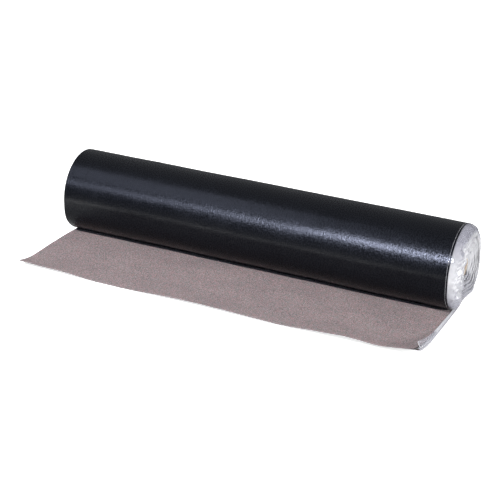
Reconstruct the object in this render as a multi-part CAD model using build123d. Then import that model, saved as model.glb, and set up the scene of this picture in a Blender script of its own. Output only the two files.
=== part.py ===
from build123d import *
import os
from math import acos, degrees, pi, radians, sqrt, tan

# A roll of roofing felt lying on a floor, with its loose end drawn out in front.
# The origin is the centre of the core's bore, halfway along the roll.
# +X runs along the roll to the end with the lap film, -Y points to the loose end, +Z is up.
# All sizes are in millimetres.

# Felt sheet
sheet_width = 1000.0
sheet_length = 10000.0
sheet_thickness = 3.0
turn_slack = 0.08        # air between one turn and the next

# Loose end, measured from the point of the floor under the axis
loose_reach = 307.0
curl_reach = 115.0       # stretch next to the cut edge that lifts off the floor
# Lift of the cut edge at places across the sheet, given as shares of its width from the middle
edge_lifts = ((-0.50, 8.5), (-0.40, 7.0), (-0.30, 3.0), (-0.20, 2.0), (-0.03, 7.5),
              (0.16, 4.0), (0.34, 10.5), (0.42, 9.5), (0.50, 18.0))
nip_gap = 0.4            # height at which the wedge between roll and loose end closes

# Cardboard core
core_bore = 38.0
core_wall = 3.0
core_fit = 0.2           # between the core and the first turn
core_stand = 9.0         # how far the core stands out of the felt on the film's side

# Spiral line that parts the turns on the plain end
seam_width = 0.6
seam_depth = 2.5
seam_end_halves = 5      # innermost half turns that the line leaves out

# Lap film, which stands out past the felt along one side and is crumpled over that end of the roll
film_crown = 21.5        # how far the crumpled film stands out of the felt's end
film_shoulder_flats = 3  # flats in which its outer turn bends over the end
film_lean = 10.0         # angle by which its face falls back from there to the mouth, in degrees
film_mouth_fit = 3.0     # between the core's outside and the film around its mouth
film_mouth_bevel = 4.0
film_fold_inset = 3.0    # from the crown to the first fold
film_fold_pitch = 12.5   # the film's turns bunch into folds this far apart
film_fold_gap = 1.8
film_fold_floor = 6.0    # height of the folds' feet above the felt's end

# Lip of the same film along the loose end: place as a share of the loose end's reach,
# height above the felt's upper face and outward bulge
lip_thickness = 1.0
lip_sections = ((0.013, 0.4, 3.8), (0.50, 1.4, 5.6), (0.65, 7.5, 6.4),
                (0.80, 13.5, 8.0), (1.0, 18.0, 12.0))
# Creases that run along the lip, as shares of its bulge and height
lip_creases = ((0.0, 0.0), (0.65, 0.12), (1.0, 0.4), (0.85, 0.75), (0.0, 1.0))

turn_pitch = sheet_thickness + turn_slack
core_radius = core_bore / 2 + core_wall
hub_radius = core_radius + core_fit
wound_length = sheet_length - loose_reach
coil_radius = sqrt(hub_radius**2 + turn_pitch * wound_length / pi)
floor_z = -coil_radius
plain_end_x = -sheet_width / 2
film_end_x = sheet_width / 2
curl_start = loose_reach - curl_reach


def spiral_half(start_radius, pitch, number, offset=0.0, opening=180.0):
    """Half turn of a two-centre spiral that winds inwards from the foot of a circle.

    Even numbers rise behind the axis about the origin. Odd numbers come down in front,
    about a centre half a pitch higher, so that the halves meet without a corner.
    Only the last part of the half turn is drawn where opening is less than 180 degrees.
    """
    front = number % 2 == 1
    centre = (0, pitch / 2 if front else 0)
    radius = start_radius - number * pitch / 2 + offset
    first_angle = (90 if front else -90) + 180 - opening
    return CenterArc(centre, radius, first_angle, opening)


def spiral_ribbon(start_radius, pitch, width, first, last, opening=180.0):
    """Flat band of the given width that follows the spiral from half turn first to last."""
    sides = []
    for offset in (width / 2, -width / 2):
        halves = [spiral_half(start_radius, pitch, first, offset, opening)]
        halves += [spiral_half(start_radius, pitch, n, offset) for n in range(first + 1, last + 1)]
        sides.append(halves)
    outer, inner = sides
    caps = [Line(outer[0] @ 0, inner[0] @ 0), Line(outer[-1] @ 1, inner[-1] @ 1)]
    return make_face(outer + inner + caps)


def lift_at(reach, lift):
    """Height of the loose end above the floor: a parabola that starts level where the curl starts."""
    share = max(0.0, (reach - curl_start) / curl_reach)
    return lift * share**2


def nip_angle():
    """Angle before the roll's foot at which the second turn lands on the loose end."""
    return degrees(acos(1 - (nip_gap - turn_slack) / (coil_radius - turn_pitch / 2)))


def wound_felt():
    """The coil with the flat part of the loose end, as one section drawn out along the roll."""
    sheet_top = floor_z + sheet_thickness
    back = spiral_half(coil_radius, turn_pitch, 0)
    front = CenterArc((0, turn_pitch / 2), coil_radius - turn_pitch / 2, 90, 180 - nip_angle())
    nip = front @ 1
    foot = Polyline(nip, (nip.X, sheet_top), (-curl_start, sheet_top), (-curl_start, floor_z), (0, floor_z))
    section = make_face([back, front, foot]) - Circle(hub_radius)
    return extrude(Plane.YZ * section, amount=sheet_width / 2, both=True)


def curl_section(share, lift):
    """Outline of the lifting part of the loose end at one place across the sheet."""
    middle = -(curl_start + loose_reach) / 2
    low = Bezier((-curl_start, floor_z), (middle, floor_z), (-loose_reach, floor_z + lift))
    top = floor_z + sheet_thickness
    high = Bezier((-curl_start, top), (middle, top), (-loose_reach, top + lift))
    outline = [low, high, Line(low @ 0, high @ 0), Line(low @ 1, high @ 1)]
    return Plane.YZ.offset(share * sheet_width) * make_face(outline)


def curled_edge():
    """The stretch beside the cut edge, which waves and lifts at its corners."""
    return loft([curl_section(share, lift) for share, lift in edge_lifts])


def turn_seam():
    """Groove on the plain end that shows where one turn of felt lies on the next."""
    last = int(2 * (coil_radius - hub_radius) / turn_pitch) - seam_end_halves
    ribbon = spiral_ribbon(coil_radius, turn_pitch, seam_width, 1, last, nip_angle())
    return extrude(Plane.YZ.offset(plain_end_x) * ribbon, amount=seam_depth)


def felt_sheet():
    return wound_felt() + curled_edge() - turn_seam()


def core_tube():
    ring = Circle(core_radius) - Circle(core_bore / 2)
    return extrude(Plane.YZ.offset(plain_end_x) * ring, amount=sheet_width + core_stand)


def film_coil():
    """Crumpled film over the roll's end: a turned pad with a mouth around the core's bore."""
    mouth = core_radius + film_mouth_fit
    bend = CenterArc((film_end_x, coil_radius - film_crown), film_crown, 90, -90)
    shoulder = [bend @ (i / film_shoulder_flats) for i in range(film_shoulder_flats + 1)]
    crest = shoulder[-1]
    bevel = mouth + film_mouth_bevel
    bevel_x = crest.X - (crest.Y - bevel) * tan(radians(film_lean))
    rim = [(bevel_x, bevel), (bevel_x - film_mouth_bevel, mouth), (film_end_x, mouth)]
    pad = revolve(Plane.XZ * make_face(Polyline(*shoulder, *rim, close=True)), Axis.X)
    first_radius = crest.Y - film_fold_inset
    last = int(2 * (first_radius - bevel) / film_fold_pitch) - 1
    folds = spiral_ribbon(first_radius, film_fold_pitch, film_fold_gap, 0, last)
    return pad - extrude(Plane.YZ.offset(film_end_x + film_fold_floor) * folds, amount=film_crown)


def crescent_side(base, height, bulge):
    """Folded line that leaves the felt's edge, swings out by the bulge and comes back above it."""
    return Polyline(*[(film_end_x + out * bulge, base + up * height) for out, up in lip_creases])


def lip_section(share, rise, bulge):
    """Crescent of film that leaves the felt's underside and bends up beside its edge."""
    reach = share * loose_reach
    height = sheet_thickness + rise
    base = floor_z + lift_at(reach, edge_lifts[-1][1])
    outer, inner = (
        crescent_side(base + inset, height - 2 * inset, bulge - inset) for inset in (0, lip_thickness)
    )
    caps = [Line(outer @ 0, inner @ 0), Line(outer @ 1, inner @ 1)]
    return Plane.XZ.offset(reach) * make_face([outer, inner] + caps)


def film_lip():
    return loft([lip_section(*section) for section in lip_sections], ruled=True)


def lap_film():
    return film_coil() + film_lip()


pieces = {"felt_sheet": felt_sheet(), "core_tube": core_tube(), "lap_film": lap_film()}
os.makedirs("parts", exist_ok=True)
for name, piece in pieces.items():
    box = piece.bounding_box()
    print(name, len(piece.solids()), "solid", round(piece.volume), "mm3", box.min, box.max)
    export_step(piece, f"parts/{name}.step")
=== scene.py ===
import math
import bpy
import numpy as np
from mathutils import Matrix, Vector


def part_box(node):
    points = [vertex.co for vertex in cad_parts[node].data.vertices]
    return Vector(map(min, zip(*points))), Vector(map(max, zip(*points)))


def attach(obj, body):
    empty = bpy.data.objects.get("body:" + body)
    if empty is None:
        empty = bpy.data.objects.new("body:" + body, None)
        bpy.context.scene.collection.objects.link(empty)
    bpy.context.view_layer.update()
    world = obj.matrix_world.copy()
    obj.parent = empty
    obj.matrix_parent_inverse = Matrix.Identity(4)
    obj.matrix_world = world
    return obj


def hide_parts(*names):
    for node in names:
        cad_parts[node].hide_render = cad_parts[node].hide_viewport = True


# A roll of roofing felt with its loose end drawn out in front. All sizes are in metres.
# +X runs along the roll to the end with the lap film, -Y points to the loose end, +Z is up.

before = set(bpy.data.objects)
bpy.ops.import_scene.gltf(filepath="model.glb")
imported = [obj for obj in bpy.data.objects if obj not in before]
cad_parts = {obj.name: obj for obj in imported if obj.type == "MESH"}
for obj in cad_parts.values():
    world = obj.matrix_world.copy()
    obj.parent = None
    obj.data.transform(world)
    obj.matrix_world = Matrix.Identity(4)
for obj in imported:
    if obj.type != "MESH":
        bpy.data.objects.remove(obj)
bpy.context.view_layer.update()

# Sizes read from the frame
felt_low, felt_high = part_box("felt_sheet")
_, core_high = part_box("core_tube")
ROLL_RADIUS = felt_high.z
FLOOR_Z = felt_low.z
PLAIN_END = felt_low.x
FILM_END = felt_high.x
LOOSE_REACH = -felt_low.y
CORE_RADIUS = core_high.z

# The felt sheet
SHEET_THICKNESS = 0.003
TURN_SLACK = 0.00008     # air between one turn and the next
CORE_FIT = 0.0002        # air between the core and the first turn
TURN_PITCH = SHEET_THICKNESS + TURN_SLACK
HALF_TURNS = int(2 * (ROLL_RADIUS - CORE_RADIUS - CORE_FIT) / TURN_PITCH)
EDGE_ROUNDING = 0.0004
BARE_CORNER = 0.008      # stretch of the cut edge beside the film that has no dust on it
SAG = 0.0064             # how far the outer turn hangs out of round low down in front
SAG_TURNS = 4.0          # turns over which it dies away inwards
EDGE_RAGGED = 0.00035    # how far the cut edge strays from a straight line
RAGGED_DEPTH = 0.012     # distance from the cut edge over which this dies away
LOOSE_WAVES = 0.0007     # height of the soft waves in the loose end
WAVES_GROW = 0.12        # distance from the roll at which they reach that height
WOUND_SWELL = 0.00028    # soft unevenness of the first turn, with waves of about 220 mm
WOUND_RIPPLE = 0.00010   # the same with waves of about 60 mm
SPREAD = 0.0016          # how far the first turn spreads in front at the plain end
SPREAD_PLACE = 1.60 * math.pi * ROLL_RADIUS  # length of wound sheet up to there
SPREAD_WIDTH = 0.055     # distance over which it dies away to both sides
CORNER_DRAWN_IN = 0.0052  # how far the cut corner at the plain end lies towards the middle

# Numbers of points along each strip
LOOSE_ROWS, FIRST_TURN_ROWS, WIDTH_COLUMNS = 70, 150, 160
INNER_ROWS = 2100

# Lift of the loose end's cut edge: place along the roll, height and length of the lifting stretch
EDGE_LIFTS = (
    (-0.500, 0.0084, 0.062), (-0.480, 0.0086, 0.065), (-0.460, 0.0080, 0.070), (-0.420, 0.0065, 0.078),
    (-0.380, 0.0051, 0.080), (-0.340, 0.0038, 0.080), (-0.300, 0.0019, 0.080), (-0.260, 0.0008, 0.080),
    (-0.220, 0.0004, 0.080), (-0.180, 0.0009, 0.085), (-0.140, 0.0027, 0.090), (-0.100, 0.0050, 0.095),
    (-0.060, 0.0066, 0.100), (-0.020, 0.0068, 0.105), (0.020, 0.0051, 0.105), (0.060, 0.0042, 0.105),
    (0.100, 0.0033, 0.100), (0.140, 0.0032, 0.100), (0.180, 0.0023, 0.095), (0.220, 0.0027, 0.095),
    (0.260, 0.0054, 0.100), (0.300, 0.0076, 0.105), (0.340, 0.0102, 0.110), (0.380, 0.0099, 0.110),
    (0.420, 0.0078, 0.105), (0.450, 0.0100, 0.105), (0.480, 0.0143, 0.108), (0.500, 0.0176, 0.110),
)


def smoothstep(low, high, values):
    """0 below low, 1 above high and a cubic ramp between."""
    t = np.clip((values - low) / (high - low), 0, 1)
    return t * t * (3 - 2 * t)


def swell(u, v, seed, size, count=7):
    """Soft waves over a surface: sine waves of about one size in random directions, added up and
    divided by the root of their number."""
    rng = np.random.default_rng(seed)
    total = np.zeros(np.broadcast(u, v).shape)
    for _ in range(count):
        turn = rng.uniform(0, 2 * math.pi)
        pace = 2 * math.pi / (size * rng.uniform(0.7, 1.6))
        phase = rng.uniform(0, 2 * math.pi)
        total = total + np.sin(pace * (u * math.cos(turn) + v * math.sin(turn)) + phase)
    return total / math.sqrt(count)


def fold_wave(phase):
    """Zigzag between -1 and 1, once for each whole number of the phase."""
    return 4 * np.abs(phase - np.floor(phase + 0.5)) - 1


def unit(vectors):
    """Vectors of length one in the same directions."""
    return vectors / np.maximum(np.linalg.norm(vectors, axis=-1, keepdims=True), 1e-12)


def grid(rows, columns):
    """Two arrays over a grid: the first changes from row to row, the second from column to column."""
    return np.meshgrid(rows, columns, indexing="ij")


def coil_path(lengths):
    """Line of the sheet's outer face across the roll, as points (y, z) and outward normals.

    The length is measured from the cut edge. The first stretch lies flat on the floor. After it
    come half circles, each half a pitch smaller, about two centres that lie half a pitch apart.
    """
    number = np.arange(HALF_TURNS + 1)
    radii = ROLL_RADIUS - number * TURN_PITCH / 2
    starts = LOOSE_REACH + np.concatenate(([0.0], np.cumsum(math.pi * radii[:-1])))
    half = np.clip(np.searchsorted(starts, lengths, side="right") - 1, 0, HALF_TURNS)
    odd = half % 2
    angle = (lengths - starts[half]) / radii[half] + np.where(odd == 1, math.pi / 2, -math.pi / 2)
    y = radii[half] * np.cos(angle)
    z = radii[half] * np.sin(angle) + odd * TURN_PITCH / 2
    normal_y, normal_z = np.cos(angle), np.sin(angle)
    flat = lengths < LOOSE_REACH
    y = np.where(flat, lengths - LOOSE_REACH, y)
    z = np.where(flat, FLOOR_Z, z)
    normal_y = np.where(flat, 0.0, normal_y)
    normal_z = np.where(flat, -1.0, normal_z)
    return np.stack([y, z], -1), np.stack([normal_y, normal_z], -1)


def sag(normal):
    """How far the outer turn hangs out of round low down in front, by the direction of its normal.

    It grows where the normal points down, and closes again as SAG * (1 - exp(-(gap / SAG)**2)) where
    the gap between the round roll and the sheet under it closes.
    """
    gap = ROLL_RADIUS * (1 + normal[..., 1])
    low = smoothstep(0.10, 0.60, -normal[..., 1]) * (normal[..., 0] < 0)
    return SAG * (1 - np.exp(-(gap / SAG) ** 2)) * low


def inner_sag(normal, turn):
    """What is left of this hang in a turn further in: it dies away as an exponential of the turn's number."""
    return (sag(normal) * np.exp(-turn / SAG_TURNS))[..., None]


def half_turn_start(number):
    """Length along the sheet at which a half turn begins."""
    radii = ROLL_RADIUS - np.arange(number) * TURN_PITCH / 2
    return LOOSE_REACH + math.pi * float(np.sum(radii))


def surface_normals(face, u, v, step=0.0004):
    """Normals of a surface function, from the cross product of its two slopes."""
    along = face(u + step, v) - face(u - step, v)
    across = face(u, v + step) - face(u, v - step)
    return unit(np.cross(along, across))


def make_piece(name, vertices, faces, material_of_face, materials, uv=None, depth=None):
    """Smooth mesh object from arrays: points, quads and one material number a face.

    The uv are places on the flat sheet. The depth is an attribute of the points that the finishes read.
    """
    mesh = bpy.data.meshes.new(name)
    mesh.vertices.add(len(vertices))
    mesh.vertices.foreach_set("co", vertices.astype(np.float32).ravel())
    mesh.loops.add(faces.size)
    mesh.loops.foreach_set("vertex_index", faces.astype(np.int32).ravel())
    mesh.polygons.add(len(faces))
    mesh.polygons.foreach_set("loop_start", np.arange(0, faces.size, 4, dtype=np.int32))
    mesh.polygons.foreach_set("material_index", material_of_face.astype(np.int32))
    mesh.polygons.foreach_set("use_smooth", np.ones(len(faces), bool))
    mesh.update(calc_edges=True)
    if uv is not None:
        layer = mesh.uv_layers.new(name="sheet")
        layer.data.foreach_set("uv", uv[faces.ravel()].astype(np.float32).ravel())
    if depth is not None:
        attribute = mesh.attributes.new("depth", "FLOAT", "POINT")
        attribute.data.foreach_set("value", depth.astype(np.float32))
    mesh.validate()
    for material in materials:
        mesh.materials.append(material)
    piece = bpy.data.objects.new(name, mesh)
    bpy.context.scene.collection.objects.link(piece)
    return piece


def loop_quads(rows, columns):
    """Quads of a closed profile of so many columns, carried along so many rows."""
    row = np.arange(rows - 1)[:, None] * columns
    column = np.arange(columns)[None, :]
    after = (column + 1) % columns
    quads = [row + column, row + columns + column, row + columns + after, row + after]
    return np.stack(quads, -1).reshape(-1, 4)


def end_quads(first, columns, flip):
    """Quads that close the end of a profile whose second half runs back under its first.

    The flip turns them round, so that they face outwards at the profile's first end.
    """
    half = columns // 2
    column = np.arange(half - 1)
    back = columns - 1 - column
    quads = np.stack([first + column, first + column + 1, first + back - 1, first + back], -1)
    return quads[:, ::-1] if flip else quads


def closed_quads(rows, columns):
    """Quads of a closed profile carried along so many rows, and then those of its first and last end."""
    ends = [end_quads(0, columns, True), end_quads((rows - 1) * columns, columns, False)]
    return np.concatenate([loop_quads(rows, columns), *ends])


def both_faces(values):
    """Values for a thin shell from those for one face, because the second face runs back under it."""
    return np.concatenate([values, values[:, ::-1]], axis=1)


# Materials

def new_material(name, **values):
    """Material with one shader that has the given plain values, and short calls for its nodes."""
    material = bpy.data.materials.new(name)
    material.use_nodes = True
    n = Nodes(material)
    n.tree.nodes.clear()
    output = n.tree.nodes.new("ShaderNodeOutputMaterial")
    shader = n.tree.nodes.new("ShaderNodeBsdfPrincipled")
    n.link(shader.outputs[0], output.inputs[0])
    for socket, value in values.items():
        shader.inputs[socket].default_value = value
    return material, shader, n


class Nodes:
    """Short calls for the nodes that the finishes, the floor and the room share."""

    def __init__(self, owner):
        self.tree = owner.node_tree

    def link(self, source, target):
        self.tree.links.new(source, target)

    def put(self, value, socket):
        """Set a number or a colour on a socket, or link an output to it."""
        if isinstance(value, (int, float)):
            socket.default_value = value
        elif isinstance(value, tuple):
            socket.default_value = (*value, 1)
        else:
            self.link(value, socket)

    def attribute(self, name):
        node = self.tree.nodes.new("ShaderNodeAttribute")
        node.attribute_name = name
        return node.outputs["Fac"]

    def coordinates(self, kind, scale=(1, 1, 1)):
        source = self.tree.nodes.new("ShaderNodeTexCoord")
        mapping = self.tree.nodes.new("ShaderNodeMapping")
        mapping.inputs["Scale"].default_value = scale
        self.link(source.outputs[kind], mapping.inputs[0])
        return mapping.outputs[0]

    def noise(self, vector, scale, detail=2.0, roughness=0.5, distortion=0.0):
        node = self.tree.nodes.new("ShaderNodeTexNoise")
        node.inputs["Scale"].default_value = scale
        node.inputs["Detail"].default_value = detail
        node.inputs["Roughness"].default_value = roughness
        node.inputs["Distortion"].default_value = distortion
        self.link(vector, node.inputs["Vector"])
        return node.outputs["Fac"]

    def cells(self, vector, scale):
        node = self.tree.nodes.new("ShaderNodeTexVoronoi")
        node.inputs["Scale"].default_value = scale
        self.link(vector, node.inputs["Vector"])
        return node.outputs["Color"]

    def ramp(self, value, stops):
        node = self.tree.nodes.new("ShaderNodeValToRGB")
        elements = node.color_ramp.elements
        while len(elements) < len(stops):
            elements.new(0.5)
        for element, (place, colour) in zip(elements, stops):
            element.position = place
            element.color = (*colour, 1)
        self.link(value, node.inputs[0])
        return node.outputs[0]

    def span(self, value, low, high, to_low=0.0, to_high=1.0):
        node = self.tree.nodes.new("ShaderNodeMapRange")
        for key, number in (("From Min", low), ("From Max", high), ("To Min", to_low), ("To Max", to_high)):
            node.inputs[key].default_value = number
        self.link(value, node.inputs["Value"])
        return node.outputs[0]

    def maths(self, operation, first, second):
        node = self.tree.nodes.new("ShaderNodeMath")
        node.operation = operation
        self.put(first, node.inputs[0])
        self.put(second, node.inputs[1])
        return node.outputs[0]

    def mix(self, share, first, second, blend="MIX"):
        node = self.tree.nodes.new("ShaderNodeMix")
        node.data_type = "RGBA"
        node.blend_type = blend
        for key, value in (("Factor", share), ("A", first), ("B", second)):
            self.put(value, node.inputs[key])
        return node.outputs["Result"]

    def bump(self, height, strength, distance, before=None):
        node = self.tree.nodes.new("ShaderNodeBump")
        node.inputs["Strength"].default_value = strength
        node.inputs["Distance"].default_value = distance
        self.link(height, node.inputs["Height"])
        if before is not None:
            self.link(before, node.inputs["Normal"])
        return node.outputs[0]

    def separate(self, vector, axis):
        node = self.tree.nodes.new("ShaderNodeSeparateXYZ")
        self.link(vector, node.inputs[0])
        return node.outputs[axis]


def black_film_finish():
    """Satin black film on the sheet's outer face, finely pebbled so that its sheen sparkles."""
    material, shader, n = new_material("black_film_face", IOR=1.24)
    sheet = n.coordinates("UV")
    streaks = n.noise(n.coordinates("UV", (30, 240, 1)), 1.0, 3.0, 0.6)
    flecks = n.noise(n.coordinates("UV", (85, 260, 1)), 1.0, 1.0, 0.5)
    pebbles = n.noise(n.coordinates("UV", (230, 380, 1)), 1.0, 1.0, 0.5)
    soft = n.noise(sheet, 14.0, 2.0)
    shader.inputs["Base Color"].default_value = (0.0049, 0.0056, 0.0079, 1)
    gloss = n.maths("ADD", pebbles, n.maths("MULTIPLY", n.maths("ADD", streaks, soft), 0.25))
    n.link(n.span(gloss, 0.58, 0.92, 0.15, 0.40), shader.inputs["Roughness"])
    relief = None
    for height, strength, distance in ((soft, 0.25, 0.0012), (streaks, 0.45, 0.0005),
                                       (flecks, 0.85, 0.00048), (pebbles, 0.85, 0.00030)):
        relief = n.bump(height, strength, distance, relief)
    n.link(relief, shader.inputs["Normal"])
    return material


def granule_finish():
    """Brown-grey granules on the sheet's inner face, some greenish and some pinkish, in soft patches, with
    soft waves of painted shading.
    """
    material, shader, n = new_material("brown_granule_face", Roughness=0.85, IOR=1.35)
    sheet = n.coordinates("UV")
    grains = n.cells(sheet, 900.0)
    grain_value = n.separate(grains, 0)
    tint = n.separate(grains, 1)
    colour = n.ramp(grain_value, [(0.0, (0.11, 0.085, 0.09)), (0.35, (0.24, 0.185, 0.195)),
                                  (0.7, (0.35, 0.275, 0.285)), (1.0, (0.56, 0.47, 0.49))])
    colour = n.mix(n.span(tint, 0.72, 0.74), colour, (0.21, 0.23, 0.21))
    colour = n.mix(n.span(tint, 0.22, 0.20), colour, (0.45, 0.28, 0.28))
    clumps = n.noise(sheet, 260.0, 3.0, 0.75)
    patches = n.noise(sheet, 75.0, 3.0, 0.7)
    # Painted shading: soft waves of darker and lighter tone, as light falls on the sheet's undulations
    waves = n.noise(n.coordinates("UV", (16, 9, 1)), 1.0, 2.0, 0.5, 0.6)
    for shade, low, low_tint, high, high_tint in (
        (clumps, 0.3, (0.68, 0.70, 0.71), 0.7, (1.27, 1.26, 1.26)),
        (patches, 0.35, (1.05, 0.98, 0.98), 0.65, (0.95, 1.02, 1.0)),
        (waves, 0.35, (0.93, 0.93, 0.94), 0.65, (1.06, 1.05, 1.05)),
    ):
        colour = n.mix(1.0, colour, n.ramp(shade, [(low, low_tint), (high, high_tint)]), "MULTIPLY")
    n.link(colour, shader.inputs["Base Color"])
    n.link(n.bump(grain_value, 0.5, 0.0004, n.bump(clumps, 0.3, 0.0008)), shader.inputs["Normal"])
    return material


def cut_edge_finish(name, dark, light):
    """Cut edge of the sheet: gritty bitumen with a thin brown line where the granules end."""
    material, shader, n = new_material(name, Roughness=0.7)
    grit = n.noise(n.coordinates("Object"), 900.0, 3.0, 0.7)
    shade = n.ramp(grit, [(0.3, dark), (0.7, light)])
    line = n.span(n.maths("ADD", n.attribute("depth"), n.maths("MULTIPLY", grit, 0.16)), 0.86, 0.92)
    n.link(n.mix(line, shade, (0.24, 0.19, 0.18)), shader.inputs["Base Color"])
    n.link(n.bump(grit, 0.6, 0.0006), shader.inputs["Normal"])
    return material


def clear_film_finish(name, opacity, creasing):
    """Thin clear plastic film: greyish where it is drawn tight over the felt, whitish in folds."""
    material, shader, n = new_material(name, Roughness=0.09, IOR=1.5)
    place = n.coordinates("Object")
    creases = n.noise(place, 160.0, 3.0, 0.65, 1.2)
    haze = n.noise(place, 45.0, 3.0, 0.6)
    whiteness = n.maths("ADD", n.attribute("depth"), n.span(haze, 0.3, 0.7, -0.07, 0.07))
    colour = n.ramp(whiteness, [(0.0, (0.42, 0.42, 0.49)), (1.0, (0.87, 0.87, 0.89))])
    n.link(colour, shader.inputs["Base Color"])
    n.link(n.span(whiteness, 0.0, 1.0, *opacity), shader.inputs["Alpha"])
    n.link(n.bump(creases, creasing, 0.0012), shader.inputs["Normal"])
    return material


def cardboard_finish():
    """Kraft board wound on a slant, with paler fibres, and painted shade that darkens the bore to brown
    towards its top.
    """
    material, shader, n = new_material("kraft_board", Roughness=0.8)
    place = n.coordinates("Object")
    along = n.separate(place, 0)
    fibres = n.noise(n.coordinates("Object", (60, 400, 400)), 1.0, 4.0, 0.65)
    board = n.ramp(fibres, [(0.3, (0.78, 0.65, 0.52)), (0.7, (0.95, 0.84, 0.72))])
    # Its two end faces stay pale: the painted shade starts just inside them and is full a little further in
    starts, full = 0.0004, 0.0016
    inside = n.maths("MULTIPLY", n.span(along, core_high.x - starts, core_high.x - full),
                     n.span(along, PLAIN_END + starts, PLAIN_END + full))
    # Painted shade: the bore's upper wall is darkened to brown, where its rim keeps the light off
    painted_bore_shade = n.maths("MULTIPLY", inside, n.span(n.separate(place, 2), 0.0005, 0.0065, 0.0, 0.96))
    n.link(n.mix(painted_bore_shade, board, (0.09, 0.055, 0.03)), shader.inputs["Base Color"])
    n.link(n.bump(fibres, 0.3, 0.0003), shader.inputs["Normal"])
    return material


BLACK_FACE = black_film_finish()
BROWN_FACE = granule_finish()
CUT_EDGE = cut_edge_finish("cut_edge", (0.012, 0.012, 0.013), (0.045, 0.043, 0.044))
# The loose end was cut across with granules and dust dragged over its edge
DUSTY_EDGE = cut_edge_finish("dusty_cut_edge", (0.20, 0.165, 0.165), (0.37, 0.30, 0.30))
# Dark brown patch on the film at the felt's cut corner
CORNER_DARK_PATCH = cut_edge_finish("bitumen", (0.055, 0.038, 0.030), (0.12, 0.085, 0.07))
COIL_FILM = clear_film_finish("clear_film_coil", (0.35, 0.92), 0.06)
LIP_FILM = clear_film_finish("clear_film_lip", (0.28, 0.95), 0.04)
KRAFT_BOARD = cardboard_finish()


# The felt sheet

def edge_lift(x):
    """Height of the cut edge and length of the lifting stretch at each place along the roll."""
    places, heights, reaches = np.array(EDGE_LIFTS).T
    return smooth_between(x, places, heights), smooth_between(x, places, reaches)


def smooth_between(x, places, values):
    """Values between given places: a cubic whose slope at a place is the mean of its neighbours'."""
    slopes = np.gradient(values, places)
    k = np.clip(np.searchsorted(places, x) - 1, 0, len(places) - 2)
    width = places[k + 1] - places[k]
    t = np.clip((x - places[k]) / width, 0, 1)
    rise = values[k + 1] - values[k]
    first = t * (1 - t) ** 2 * width * slopes[k]
    last = t * t * (1 - t) * width * slopes[k + 1]
    return values[k] + t * t * (3 - 2 * t) * rise + first - last


def outer_face(s, x):
    """Outer face of the first turn and the loose end.

    It is the coil's path drawn out along X. The loose end rises towards its cut edge as a square of
    the distance, and waves softly. The wound stretch swells in and out by a fraction of a millimetre,
    hangs low down in front, and spreads a little in front towards the plain end.
    """
    s, x = np.broadcast_arrays(s, x)
    point, normal = coil_path(np.maximum(s, 0))
    ragged = EDGE_RAGGED * swell(x, 0 * x, seed=11, size=0.02) * np.exp(-np.maximum(s, 0) / RAGGED_DEPTH)
    height, reach = edge_lift(np.clip(x, PLAIN_END, FILM_END))
    share = np.clip(1 - s / reach, 0, 1.2)
    free = smoothstep(LOOSE_REACH, LOOSE_REACH - WAVES_GROW, s)
    wave = LOOSE_WAVES * free * np.clip(0.8 + swell(s, x, seed=5, size=0.16), 0, None)
    wound = smoothstep(LOOSE_REACH + 0.02, LOOSE_REACH + 0.10, s)
    wound = wound * smoothstep(half_turn_start(2) - 0.004, half_turn_start(2) - 0.06, s)
    uneven = WOUND_SWELL * swell(s, x, seed=3, size=0.22) + WOUND_RIPPLE * swell(s, x, seed=4, size=0.06)
    spread = SPREAD * np.exp(-((s - LOOSE_REACH - SPREAD_PLACE) / SPREAD_WIDTH) ** 2)
    bulge = wound * uneven + sag(normal) + spread * smoothstep(-0.36, PLAIN_END, x)
    drawn_in = CORNER_DRAWN_IN * smoothstep(0.155, 0.045, s) * smoothstep(-0.42, PLAIN_END, x)
    y = point[..., 0] + np.minimum(s, 0) - ragged + normal[..., 0] * bulge
    z = point[..., 1] + height * share**2 + wave + normal[..., 1] * bulge
    return np.stack([x + drawn_in, y, z], -1)


def wrap_profile(x_stations):
    """Closed profile of the sheet across its width, as places along X and depths under the outer face."""
    low, high, r, t = PLAIN_END, FILM_END, EDGE_ROUNDING, SHEET_THICKNESS
    corner_x = r * np.array([0.0, 0.3, 1.0])
    corner_depth = r * np.array([1.0, 0.3, 0.0])
    outer_x = np.concatenate([low + corner_x, x_stations, high - corner_x[::-1]])
    outer_depth = np.concatenate([corner_depth, 0 * x_stations, corner_depth[::-1]])
    x = np.concatenate([outer_x, outer_x[::-1]])
    depth = np.concatenate([outer_depth, t - outer_depth[::-1]])
    return x, depth


def sheet_material(depth):
    """0 for the black face, 1 for the cut edge and 2 for the brown face, between profile points."""
    following = np.roll(depth, -1)
    near = EDGE_ROUNDING * 0.35
    black = (depth < near) & (following < near)
    brown = (depth > SHEET_THICKNESS - near) & (following > SHEET_THICKNESS - near)
    return np.where(black, 0, np.where(brown, 2, 1))


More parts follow.
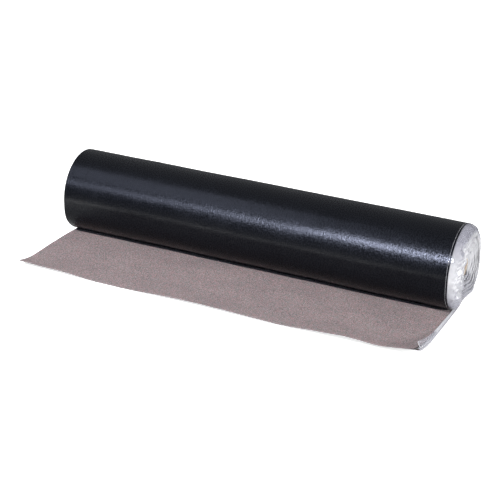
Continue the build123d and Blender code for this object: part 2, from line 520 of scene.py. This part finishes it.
def build_outer_turn():
    """The sheet's loose end and first turn, as a closed profile carried along the coil's path."""
    s = np.concatenate([
        [0.0, EDGE_ROUNDING * 0.3, EDGE_ROUNDING],
        np.linspace(0.002, LOOSE_REACH, LOOSE_ROWS),
        np.linspace(LOOSE_REACH, half_turn_start(2), FIRST_TURN_ROWS)[1:],
    ])
    inset = np.concatenate([[1.0, 0.3], np.zeros(len(s) - 2)])[:, None] * EDGE_ROUNDING
    x, depth = wrap_profile(np.linspace(PLAIN_END + 0.001, FILM_END - 0.001, WIDTH_COLUMNS))
    grid_s, grid_x = grid(s, x)
    grid_depth = np.clip(depth[None, :], inset, SHEET_THICKNESS - inset)
    normal = surface_normals(outer_face, grid_s, grid_x)
    points = outer_face(grid_s, grid_x) - grid_depth[..., None] * normal * outward_sign(normal, grid_s)
    rows, columns = len(s), len(x)
    kinds = np.tile(sheet_material(depth), rows - 1)
    # Dust lies on the cut edge: on the first three rows of its quads, and on those that close the end
    dusty = np.where(x < FILM_END - BARE_CORNER, 3, 1)
    first = kinds[:3 * columns]
    kinds[:3 * columns] = np.where(first == 1, np.tile(dusty, 3), first)
    closing = columns // 2 - 1
    kinds = np.concatenate([kinds, dusty[:closing], np.ones(closing, int)])
    uv = np.stack([grid_s, grid_x], -1).reshape(-1, 2)
    share = (grid_depth / SHEET_THICKNESS).reshape(-1)
    finishes = [BLACK_FACE, CUT_EDGE, BROWN_FACE, DUSTY_EDGE]
    return make_piece("felt_outer_turn", points.reshape(-1, 3), closed_quads(rows, columns), kinds, finishes,
                      uv=uv, depth=share)


def outward_sign(normal, s):
    """1 where the normal points out of the roll, -1 where it points in."""
    _, outward = coil_path(np.maximum(s, 0))
    facing = normal[..., 1] * outward[..., 0] + normal[..., 2] * outward[..., 1]
    return np.sign(facing)[..., None]


def build_inner_turns():
    """All further turns: a narrow closed profile along the coil's path, its plain end slightly uneven."""
    s = np.linspace(half_turn_start(2), half_turn_start(HALF_TURNS), INNER_ROWS)
    low_inset = np.array([0.0, 0.0003, 0.0012, 0.02])
    low_depth = np.array([0.0005, 0.00012, 0.0, 0.0])
    slow, quick = swell(s, 0 * s, seed=21, size=0.31), swell(s, 0 * s, seed=22, size=0.05)
    slip = np.clip(0.0007 + 0.00045 * slow + 0.00025 * quick, 0, 0.0024)
    outer_x = np.concatenate([PLAIN_END + low_inset, (FILM_END - low_inset)[::-1]])
    moved = np.concatenate([np.ones(4), np.zeros(4)])
    outer_depth = np.concatenate([low_depth, low_depth[::-1]])
    x = np.concatenate([outer_x, outer_x[::-1]]) + slip[:, None] * np.concatenate([moved, moved[::-1]])
    depth = np.concatenate([outer_depth, SHEET_THICKNESS - outer_depth[::-1]])
    point, normal = coil_path(s)
    turn = (ROLL_RADIUS - np.hypot(point[:, 0], point[:, 1])) / TURN_PITCH
    point = point + normal * inner_sag(normal, turn)
    y = point[:, :1] - normal[:, :1] * depth
    z = point[:, 1:] - normal[:, 1:] * depth
    rows, columns = x.shape
    kinds = np.concatenate([np.tile(sheet_material(depth), rows - 1), np.ones(columns - 2, int)])
    uv = np.stack([np.repeat(s, columns), x.reshape(-1)], -1)
    share = np.tile(depth / SHEET_THICKNESS, rows)
    finishes = [BLACK_FACE, CUT_EDGE, BROWN_FACE]
    return make_piece("felt_inner_turns", np.stack([x, y, z], -1).reshape(-1, 3), closed_quads(rows, columns),
                      kinds, finishes, uv=uv, depth=share)


# The lap film over the roll's end

FILM_THICKNESS = 0.00015
FLAP_REACH = 0.024        # how far each turn's film reaches inwards over the end
SHOULDER = 0.019          # radius at which it bends over
LAYER_LIFT = 0.0005       # height between one turn's film and the next
BUNCH_TURNS = 3.6         # turns whose free edges gather into one fold
CHORD_SIDES = 6           # straight stretches into which the folds fall, once round
MOUTH_RADIUS = CORE_RADIUS - 0.0018         # the film's innermost edge lies on the core's end
OVER_CORE = core_high.x - FILM_END + 0.0003  # height at which it lies there
OUTER_HALVES = 4          # half turns of film that show their whole shoulder
FOLD_SIZES = (0.030, 0.023, 0.018, 0.014, 0.011)  # lengths of the zigzag waves that crumple the film
CRUMPLE = 0.10            # height of such a wave as a share of its length
LEAST_GAP = 0.0003        # least distance of the film's free edge from the felt's end
CHORD_SHARE = 0.4         # how far the folds give way to straight chords
RIM_ROWS, COIL_ROWS = 1150, 2900
# How much lower, as shares, it is behind, at the roll's foot and in the dimple above the mouth
BEHIND_DROP, FOOT_DROP, DIMPLE_DROP = 0.07, 0.58, 0.40
# Height of the crumpled film above the felt's end: distance from the axis, height towards the loose
# end, and height behind
CROWN_HEIGHTS = (
    (0.018, 0.0126, 0.0094), (0.024, 0.0138, 0.0102), (0.034, 0.0158, 0.0140), (0.045, 0.0175, 0.0170),
    (0.060, 0.0202, 0.0197), (0.078, 0.0213, 0.0213), (0.090, 0.0218, 0.0218), (0.100, 0.0215, 0.0220),
)


def crown_height(radius, angle):
    """Height of the film's top layer: by radius as listed, and lower behind, at the roll's foot and in a
    dimple above the mouth."""
    distance, front, back = np.array(CROWN_HEIGHTS).T
    outer = smoothstep(0.025, 0.065, radius)
    share = smoothstep(-0.5, 0.5, np.cos(angle + 0.6 - 1.1 * outer))
    front, back = (smooth_between(radius, distance, heights) for heights in (front, back))
    height = share * front + (1 - share) * back
    behind = smoothstep(-0.3, 0.5, -np.cos(angle)) * smoothstep(-0.2, 0.3, np.sin(angle))
    foot = smoothstep(0.82, 1.0, -np.sin(angle))
    dimple = np.exp(-((angle - 1.15) / 0.45) ** 2) * smoothstep(0.048, 0.030, radius)
    return height * (1 - outer * (BEHIND_DROP * behind + FOOT_DROP * foot) - DIMPLE_DROP * dimple)


def rising_wave(phase):
    """Smoothed sawtooth from -0.5 to 0.5, once for each whole number of the phase."""
    total = 0
    for k in range(1, 5):
        total = total - np.sin(2 * math.pi * k * phase) / (math.pi * k)
    return total


def fold_phases(points):
    """Sizes and phases of the zigzag waves that crumple the film, each in a direction of its own."""
    rng = np.random.default_rng(77)
    waves = [(size, unit(rng.normal(size=3)), rng.uniform()) for size in FOLD_SIZES]
    return [(size, points @ direction / size + start) for size, direction, start in waves]


def crumple(points):
    """Folds of the film: flat facets between sharp creases, as a sum of zigzag waves."""
    return sum(CRUMPLE * size * fold_wave(phase) for size, phase in fold_phases(points))


def facet_side(points):
    """1 and -1 by turns from facet to facet of three of the waves."""
    side = 1
    for _, phase in fold_phases(points)[1:4]:
        side = side * np.sign((phase % 1) - 0.5)
    return side


def film_place(s, q):
    """Where the film lies before it is crumpled, with the coil's normal, the angle, the turn and the bend.

    The place is the height above the felt's end, and then y and z. The film reaches inwards by
    FLAP_REACH less a sawtooth wave of the turn's number, so that the free edges gather into folds. It
    reaches less at the corners of a polygon with CHORD_SIDES sides than in the middle of its sides, so
    that the folds run straight in stretches. It stops at the mouth.
    """
    point, normal = coil_path(s)
    base = np.hypot(point[..., 0], point[..., 1])
    angle = np.arctan2(point[..., 1], -point[..., 0])
    turn = (ROLL_RADIUS - base) / TURN_PITCH
    point = point + normal * inner_sag(normal, turn)
    side = angle * CHORD_SIDES / (2 * math.pi)
    chord = 1 / np.cos((side - np.floor(side) - 0.5) * 2 * math.pi / CHORD_SIDES) - 1
    drift = 0.30 * np.sin(angle + 0.4) + 0.16 * np.sin(2 * angle + 1.3) + 0.10 * np.sin(3 * angle - 0.7)
    phase = turn / BUNCH_TURNS + drift + 0.05 * swell(s, 0 * s, seed=33, size=0.30)
    gathered = 0.85 - 0.35 * smoothstep(0.0, 0.7, -np.cos(angle)) * smoothstep(-0.5, 0.1, np.sin(angle))
    bunched = gathered * BUNCH_TURNS * TURN_PITCH * rising_wave(phase)
    reach = FLAP_REACH - bunched - CHORD_SHARE * (base - FLAP_REACH) * chord
    reach = np.clip(reach + 0.0006 * swell(s, 0 * s, seed=31, size=0.42), 0.002, None)
    reach = np.clip(np.minimum(reach, base - MOUTH_RADIUS), 0.001, None)
    shoulder = np.minimum(SHOULDER, reach * 0.8)
    bend = np.clip(q / 0.5, 0, 1) * math.pi / 2
    inward = shoulder * (1 - np.cos(bend)) + (reach - shoulder) * np.clip((q - 0.5) / 0.5, 0, 1)
    radius = base - inward
    layers_above = turn - np.clip((ROLL_RADIUS - radius - FLAP_REACH) / TURN_PITCH, 0, None)
    height = crown_height(radius, angle) - LAYER_LIFT * np.clip(layers_above, 0, None)
    over_core = OVER_CORE * smoothstep(CORE_RADIUS + 0.004, CORE_RADIUS + 0.0008, radius)
    height = np.maximum(height, over_core) * np.sin(bend)
    across = point - normal * inward[..., None]
    return np.stack([height, across[..., 0], across[..., 1]], -1), normal, angle, turn, bend


def film_face(s, q):
    """Film of every turn: it leaves the felt's end, bends inwards and lies over the turns inside it.

    The share q runs from the felt's end to the film's free edge. Up to the shoulder the film rises as a
    quarter ellipse. Beyond it, it lies at the crown's height less its depth among the layers above.
    The crumpling moves it along its own normal, most on the side of the loose end.
    """
    s, q = np.broadcast_arrays(s, q)
    place, normal, angle, _, bend = film_place(s, q)
    amount = 0.12 + 0.88 * smoothstep(0.35, 0.85, np.cos(angle - 0.05))
    amount = amount * (0.35 + 0.65 * smoothstep(0.022, 0.036, np.hypot(place[..., 1], place[..., 2])))
    shift = amount * smoothstep(0.04, 0.30, q) * crumple(place)
    x = FILM_END + np.maximum(place[..., 0] + shift * np.sin(bend), LEAST_GAP * q)
    across = place[..., 1:] + normal * shift[..., None] * np.cos(bend)[..., None]
    return np.stack([x, across[..., 0], across[..., 1]], -1)


def film_tone(s, q):
    """0 where the film is drawn tight and clear, 1 where it is loose and white.

    Each fold starts with a thin dark line of painted shadow and ends with a light line of painted highlight
    along the film's free edge. Where the film is crumpled most, its facets are painted lighter and darker
    by turns, as painted light and shade.
    """
    s, q = np.broadcast_arrays(s, q)
    place, _, angle, turn, _ = film_place(s, q)
    low, behind = -np.sin(angle), -np.cos(angle)
    rim = 0.74 - 0.66 * smoothstep(0.1, 0.95, np.sin(angle)) - 0.56 * smoothstep(0.0, 0.8, low)
    loose = 0.62 - 0.30 * smoothstep(0.2, 1.0, low) + 0.14 * smoothstep(0.0, 1.0, behind)
    tone = rim + (loose - rim) * smoothstep(0.28, 0.62, q)
    # Painted shadow: a thin dark line along each fold of the turns further in
    line = np.exp(-((q - 0.56) / 0.035) ** 2) * (0.10 + 0.18 * smoothstep(0.0, 0.6, low))
    # Painted light and shade: where the film is crumpled most, facets are lighter and darker by turns
    crumpled = smoothstep(0.45, 0.95, np.cos(angle - 0.30)) * smoothstep(0.15, 0.40, q)
    tone = tone + crumpled * (0.04 + 0.20 * facet_side(place))
    # The painted shadow line is taken off, and a painted highlight is added along the free edge
    return np.clip(tone - smoothstep(1.0, 1.6, turn) * line + 0.2 * smoothstep(0.93, 0.99, q), 0, 1)


def thin_shell(face, u, v, thickness):
    """Points of a thin sheet: the face, and back under it the same face moved in by the thickness."""
    top = face(*grid(u, v))
    normal = unit(np.cross(np.gradient(top, axis=0), np.gradient(top, axis=1)))
    under = top - thickness * normal
    return np.concatenate([top, under[:, ::-1]], axis=1)


def shell_piece(name, points, material, depth=None, smeared=None, smear=None):
    """Piece from the points of a thin shell, closed at both ends.

    Quads whose four points are smeared have the second material.
    """
    faces = closed_quads(*points.shape[:2])
    if smeared is None:
        kinds, finishes = np.zeros(len(faces)), [material]
    else:
        kinds, finishes = 1 * smeared.reshape(-1)[faces].all(axis=1), [material, smear]
    return make_piece(name, points.reshape(-1, 3), faces, kinds, finishes, depth=depth)


def build_film(name, s, q):
    """Film along a stretch of the sheet, with its tone on both faces."""
    tone = both_faces(film_tone(s[:, None], q[None, :])).reshape(-1)
    return shell_piece(name, thin_shell(film_face, s, q, FILM_THICKNESS), COIL_FILM, tone)


def build_film_rim():
    """The film of the outermost turns, whose shoulder shows."""
    s = np.linspace(half_turn_start(0), half_turn_start(OUTER_HALVES), RIM_ROWS)
    q = np.concatenate([np.linspace(0, 0.5, 19), np.linspace(0.5, 1, 17)[1:]])
    return build_film("lap_film_rim", s, q)


def build_film_coil():
    """The film of all further turns, crumpled over the roll's end."""
    start, end = half_turn_start(OUTER_HALVES), half_turn_start(HALF_TURNS - 2)
    # Steps grow shorter with the turn's radius, so that each turn has as many
    turns = np.linspace(0, 1, COIL_ROWS)
    s = start + (end - start) * (1 - (1 - turns) ** 1.6)
    q = np.concatenate([np.linspace(0, 0.5, 5), np.linspace(0.5, 1, 13)[1:]])
    return build_film("lap_film_coil", s, q)


# Film along the loose end: share of its reach, height above the felt's lower face, outward bulge and
# place of its free edge
LIP_SECTIONS = (
    (0.00, 0.0038, 0.0060, -0.0006), (0.30, 0.0040, 0.0085, -0.0008), (0.50, 0.0044, 0.0100, -0.0008),
    (0.57, 0.0065, 0.0103, -0.0004), (0.65, 0.0110, 0.0108, 0.0006), (0.75, 0.0155, 0.0120, 0.0014),
    (0.85, 0.0180, 0.0140, 0.0018), (0.95, 0.0205, 0.0168, 0.0022), (1.00, 0.0212, 0.0172, 0.0024),
)
LIP_FOLD = 0.25           # share of the film's width at which it is furthest out
LIP_GROOVE = 0.0012       # depth of the groove that runs along it
LIP_WAVES = 0.0004        # height of its soft folds
LIP_GAP = 0.0002          # its distance from the felt's edge
LIP_ROWS = 220
SMEAR_SHARE = 0.062       # share of the film's width that a dark brown patch covers at the cut corner


def lip_face(reach, q):
    """Film beside the loose end: it leaves the felt's lower edge, swings out, folds back and stands up.

    The share q runs from the felt's lower edge to the film's free edge. The outward place is the bulge
    times q times a falling exponential, which peaks at the fold. The height is a power of q. A groove
    runs along it further out, and soft folds grow towards the cut end.
    """
    reach, q = np.broadcast_arrays(reach, q)
    shares, heights, bulges, tops = np.array(LIP_SECTIONS).T
    share = reach / LOOSE_REACH
    base = outer_face(LOOSE_REACH - reach, FILM_END + 0 * reach)[..., 2]
    out = smooth_between(share, shares, bulges) * q / LIP_FOLD * np.exp(1 - q / LIP_FOLD)
    out = out + smooth_between(share, shares, tops) * smoothstep(0.3, 0.9, q)
    up = smooth_between(share, shares, heights) * q**1.4
    free = np.sin(math.pi * np.clip(q, 0, 1)) * (0.2 + 0.8 * smoothstep(0.5, 1.0, share))
    folds = free * LIP_WAVES * swell(reach, 0.02 * q, seed=51, size=0.05)
    groove = -LIP_GROOVE * np.exp(-((q - 0.42) / 0.06) ** 2) * smoothstep(0.0, 0.3, share)
    x = FILM_END + LIP_GAP + out + folds + groove
    x = np.where(up < SHEET_THICKNESS + 0.0006, np.maximum(x, FILM_END + LIP_GAP), x)
    return np.stack([x, -reach, base + 0.0001 + up], -1)


def lip_tone(reach, q):
    """Tone of that film: white over its outward fold with one dark line of painted shade along its groove,
    clear where it stands up.
    """
    share = reach / LOOSE_REACH
    standing = smoothstep(0.50, 0.62, share) * smoothstep(0.42, 0.60, q)
    # Painted shade: a dark line along the groove
    line = 0.42 * np.exp(-((q - 0.40) / 0.045) ** 2)
    end = smoothstep(0.975, 0.99, share)
    return np.clip(0.68 - line - 0.62 * standing * (1 - end) + 0.15 * smoothstep(0.94, 0.99, q), 0, 1)


def build_film_lip():
    """The film along the loose end, with a dark brown patch on it at the felt's cut corner."""
    reach = np.linspace(LOOSE_REACH - 0.0005, 0.004, LIP_ROWS)
    q = np.concatenate([(0, 0.003, 0.009), np.linspace(0.018, 1, 50)])
    tone = both_faces(lip_tone(reach[:, None], q[None, :])).reshape(-1)
    spread = SMEAR_SHARE * smoothstep(0.91, 0.96, reach / LOOSE_REACH)[:, None]
    smeared = both_faces(q[None, :] < spread)
    points = thin_shell(lip_face, reach, q, -FILM_THICKNESS)
    return shell_piece("lap_film_lip", points, LIP_FILM, tone, smeared, CORNER_DARK_PATCH)


# The ridge where the film is bonded to the first turn: distance from the felt's end, width and height
BOND_INSET = 0.0047
BOND_WIDTH = 0.0007
BOND_HEIGHT = 0.0003
BOND_TONE = 0.5


def build_bond_edge():
    """Edge of the film where it is bonded to the felt: a low ridge round the first turn."""
    s = np.linspace(half_turn_start(0) + 0.01, half_turn_start(2) - 0.012, 360)
    across = np.array([-1.0, -0.6, 0.0, 0.6, 1.0])
    height = np.array([0.0, 0.8, 1.0, 0.8, 0.0]) * BOND_HEIGHT
    x = FILM_END - BOND_INSET + across * BOND_WIDTH / 2
    x = np.concatenate([x, x[::-1]])
    height = np.concatenate([height, 0 * height - BOND_HEIGHT * 0.5])
    wander = 0.0004 * swell(s, 0 * s, seed=41, size=0.12)
    grid_s, grid_x = grid(s, x)
    face = outer_face(grid_s, grid_x + wander[:, None])
    _, outward = coil_path(grid_s)
    face[..., 1:] += outward * height[None, :, None]
    return shell_piece("lap_film_bond_edge", face, LIP_FILM, np.full(face.size // 3, BOND_TONE))


for build, node, slot in (
    (build_outer_turn, "felt_sheet", "felt"),
    (build_inner_turns, "felt_sheet", "felt"),
    (build_film_rim, "lap_film", "clear_film"),
    (build_film_coil, "lap_film", "clear_film"),
    (build_film_lip, "lap_film", "clear_film"),
    (build_bond_edge, "lap_film", "clear_film"),
):
    piece = build()
    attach(piece, "root")
    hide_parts(node)

core_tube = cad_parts["core_tube"]
core_tube.data.materials.clear()
core_tube.data.materials.append(KRAFT_BOARD)


# Floor, light and camera

FLOOR_COLOUR = 0.93
FAR_IN_GLOSS = 0.24    # colour that the floor has in reflections, away from the object
NEAR_WHITE = 0.82      # white that the camera sees on top of the lit floor beside the object
GLOSS_WHITE = 6.0      # glow that only reflections see, in a band of floor just in front of the sheet: painted light for a faint sheen low on the roll
WHITE_REACH = 6.0      # distance at which the camera sees plain white
FLOOR_HALF = 60.0
FLOOR_DROP = 0.0003    # so that the floor doesn't lie in the felt's lower face


def build_floor():
    """Plain pale floor that keeps the object's shadow. Seen directly it is lifted to white."""
    half, z = FLOOR_HALF, FLOOR_Z - FLOOR_DROP
    corners = [(-half, -half, z), (half, -half, z), (half, half, z), (-half, half, z)]
    mesh = bpy.data.meshes.new("floor")
    mesh.from_pydata(corners, [], [(0, 1, 2, 3)])
    material, shader, n = new_material("white_floor", Roughness=0.9, IOR=1.2)
    shader.inputs["Emission Color"].default_value = (1, 1, 1, 1)
    path = n.tree.nodes.new("ShaderNodeLightPath").outputs
    gradient = n.tree.nodes.new("ShaderNodeTexGradient")
    gradient.gradient_type = "SPHERICAL"
    n.link(n.coordinates("Object", (1 / WHITE_REACH,) * 3), gradient.inputs[0])
    direct = n.span(gradient.outputs["Fac"], 0.2, 0.8, 1.0, NEAR_WHITE)
    place = n.coordinates("Object")
    aside = n.maths("ABSOLUTE", n.separate(place, 1), 0)
    within = n.span(n.separate(place, 0), 0.42, 0.56, 1.0, 0.0)
    forward = n.maths("MULTIPLY", n.separate(place, 1), -1.0)
    # Painted light: in reflections only, a band of floor just in front of the sheet glows
    band = n.maths("MULTIPLY", n.span(forward, 0.28, 0.31), n.span(forward, 0.33, 0.40, GLOSS_WHITE, 0.0))
    beside = n.maths("MULTIPLY", path["Is Glossy Ray"], n.maths("MULTIPLY", band, within))
    lifted = n.maths("ADD", n.maths("MULTIPLY", path["Is Camera Ray"], direct), beside)
    n.link(lifted, shader.inputs["Emission Strength"])
    # Painted reflection: in reflections only, the floor further in front and behind is darker
    far = n.maths("MULTIPLY", path["Is Glossy Ray"], n.span(aside, 0.33, 0.52))
    n.link(n.mix(far, (FLOOR_COLOUR,) * 3, (FAR_IN_GLOSS,) * 3), shader.inputs["Base Color"])
    mesh.materials.append(material)
    floor = bpy.data.objects.new("floor", mesh)
    bpy.context.scene.collection.objects.link(floor)


def add_softbox(name, start, end, aim, depth, power, colour=(1, 1, 1), lights="all"):
    """Long lamp whose middle line runs from start to end. It faces the aim, and is so deep across.

    A lamp that lights only gloss makes a band of sheen, and one that lights only matt makes none.
    """
    start, end, aim = Vector(start), Vector(end), Vector(aim)
    middle = (start + end) / 2
    side = (end - start).normalized()
    back = middle - aim
    back = (back - side * back.dot(side)).normalized()
    across = back.cross(side)
    light = bpy.data.lights.new(name, "AREA")
    light.shape = "RECTANGLE"
    light.size, light.size_y = (end - start).length, depth
    light.energy = power
    light.color = colour
    lamp = bpy.data.objects.new(name, light)
    lamp.matrix_world = Matrix((
        (side.x, across.x, back.x, middle.x),
        (side.y, across.y, back.y, middle.y),
        (side.z, across.z, back.z, middle.z),
        (0, 0, 0, 1),
    ))
    lamp.visible_diffuse = lights != "gloss"
    lamp.visible_glossy = lights != "matt"
    bpy.context.scene.collection.objects.link(lamp)


def light_world():
    """Dim pale room, lighter above and behind, so that the wedge under the roll stays dark.

    The camera sees it as plain white.
    """
    world = bpy.data.worlds.new("studio")
    world.use_nodes = True
    bpy.context.scene.world = world
    n = Nodes(world)
    background = n.tree.nodes["Background"]
    place = n.tree.nodes.new("ShaderNodeTexCoord")
    slope = n.tree.nodes.new("ShaderNodeVectorMath")
    slope.operation = "DOT_PRODUCT"
    slope.inputs[1].default_value = (0.0, 0.6, 0.8)
    n.link(place.outputs["Generated"], slope.inputs[0])
    room = n.span(slope.outputs["Value"], 0.0, 1.0, 0.012, 0.43)
    seen = n.tree.nodes.new("ShaderNodeLightPath").outputs["Is Camera Ray"]
    n.link(n.mix(seen, (0.94, 0.96, 1.0), (1.0, 1.0, 1.0)), background.inputs["Color"])
    n.link(n.maths("MAXIMUM", room, seen), background.inputs["Strength"])


def light_scene():
    light_world()
    cool, centre = (0.70, 0.76, 1.0), (0, 0, 0)
    # The band of sheen along the roll, stronger towards the end with the film, and a weak one above it
    for name, left, right, y, z, depth, power in (
        ("sheen_left", -2.3, -1.15, -2.15, 1.22, 0.6, 20),
        ("sheen_middle", -1.15, -0.72, -2.15, 1.22, 0.55, 13.5),
        ("sheen_right", -0.72, -0.40, -2.15, 1.22, 0.5, 20),
        ("sheen_end", -0.40, 0.45, -2.15, 1.22, 0.5, 138),
        ("sheen_upper", -2.2, -0.6, -1.1, 2.0, 1.4, 30),
    ):
        add_softbox(name, (left, y, z), (right, y, z), centre, depth, power, cool, "gloss")
    # It shows only in the facets of the crumpled film
    end = (0.5, 0, 0)
    add_softbox("glint_light", (2.6, -1.9, 1.3), (3.1, -1.1, 1.3), end, 0.5, 24, lights="gloss")
    # The main light in front, and a second from the right at the same slope, so that both throw the
    # roll's shadow to one sharp line
    add_softbox("front_light", (-2.2, -2.698, 2.896), (-0.4, -2.698, 2.896), centre, 0.10, 157,
                lights="matt")
    add_softbox("right_light", (3.55, -0.911, 0.872), (3.15, -1.342, 1.358), end, 0.05, 90, lights="matt")


# The camera, as fitted to the photo
CAMERA_PLACE = (1.3123, -2.9733, 1.2629)
CAMERA_FORWARD = (-0.3809, 0.8434, -0.3789)
CAMERA_ROLL = 2.50
CAMERA_LENS = 103.85
CAMERA_SENSOR = 36.0


def place_camera():
    """Camera at the photo's viewing angle, rolled slightly about its own axis."""
    data = bpy.data.cameras.new("camera")
    data.lens = CAMERA_LENS
    data.sensor_width = CAMERA_SENSOR
    forward = Vector(CAMERA_FORWARD).normalized()
    right = forward.cross(Vector((0, 0, 1))).normalized()
    up = right.cross(forward)
    roll = math.radians(CAMERA_ROLL)
    rolled_right = right * math.cos(roll) + up * math.sin(roll)
    rolled_up = up * math.cos(roll) - right * math.sin(roll)
    camera = bpy.data.objects.new("camera", data)
    turn = Matrix((rolled_right, rolled_up, -forward)).transposed().to_4x4()
    camera.matrix_world = Matrix.Translation(CAMERA_PLACE) @ turn
    bpy.context.scene.collection.objects.link(camera)
    bpy.context.scene.camera = camera


build_floor()
light_scene()
place_camera()
bpy.context.scene.view_settings.view_transform = "Standard"
